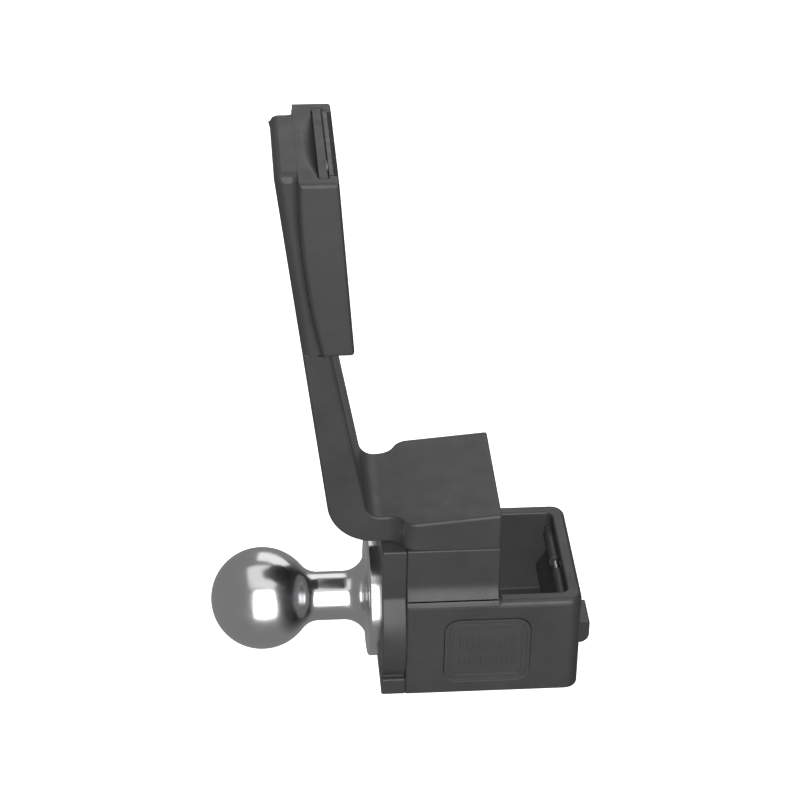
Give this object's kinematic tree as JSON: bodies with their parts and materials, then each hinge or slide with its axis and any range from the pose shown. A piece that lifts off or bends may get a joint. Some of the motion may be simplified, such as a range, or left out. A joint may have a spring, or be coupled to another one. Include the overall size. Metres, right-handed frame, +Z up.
{
  "type": "hitch ball bracket",
  "caption": "Chrome hitch ball on the end of a receiver body with an open latch pocket, an L-shaped support arm and a padded head with a sliding pad cartridge.",
  "frame": {"origin": "middle of the receiver body's flat underside", "axes": "+Z up from the underside, towards the head at the top of the arm; -X towards the ball; Y = 0 is the plane of symmetry"},
  "size_m": [0.2194, 0.1, 0.3312],
  "materials": {
    "body_black": "satin",
    "arm_black": "satin",
    "head_black": "satin",
    "latch_black": "satin",
    "cover_black": "satin",
    "badge_black": "satin",
    "carrier_black": "satin",
    "ball_chrome": "polished",
    "bright_steel": "satin",
    "spring_steel": "satin",
    "black_screws": "satin",
    "pad_rubber": "matte"
  },
  "bodies": {
    "bracket": {"receiver_body": "body_black", "ball_plate": "body_black", "plate_screws": "black_screws", "plate_dowels": "bright_steel", "hitch_ball": "ball_chrome", "ball_washer": "bright_steel", "ball_lock_washer": "bright_steel", "ball_nut": "bright_steel", "badge_plate": "badge_black", "bottom_cover": "cover_black", "cover_screws": "bright_steel", "support_arm": "arm_black", "arm_screws": "black_screws", "arm_washers": "bright_steel", "arm_dowels": "bright_steel", "latch_pin": "bright_steel", "latch_springs": "spring_steel", "pin_plug": "black_screws", "head_shell": "head_black", "head_block": "head_black", "head_screws": "black_screws", "stop_screw": "black_screws"},
    "latch": {"latch_plate": "latch_black"},
    "pad_cartridge": {"pad_carrier": "carrier_black", "backing_plate": "spring_steel", "rubber_pad": "pad_rubber", "pad_rivets": "bright_steel"}
  },
  "joints": [
    {"name": "latch_hinge", "type": "hinge", "parent": "bracket", "child": "latch", "pos_m": [0.0406, 0, 0.052], "axis": [0, -1, 0], "range_deg": [0, 6], "stiffness_Nm_per_rad": 1.5, "deforming": ["latch_springs"]},
    {"name": "cartridge_slide", "type": "slide", "parent": "bracket", "child": "pad_cartridge", "axis": [-0.0812, 0, 0.9967], "range_m": [0, 0.06]}
  ]
}
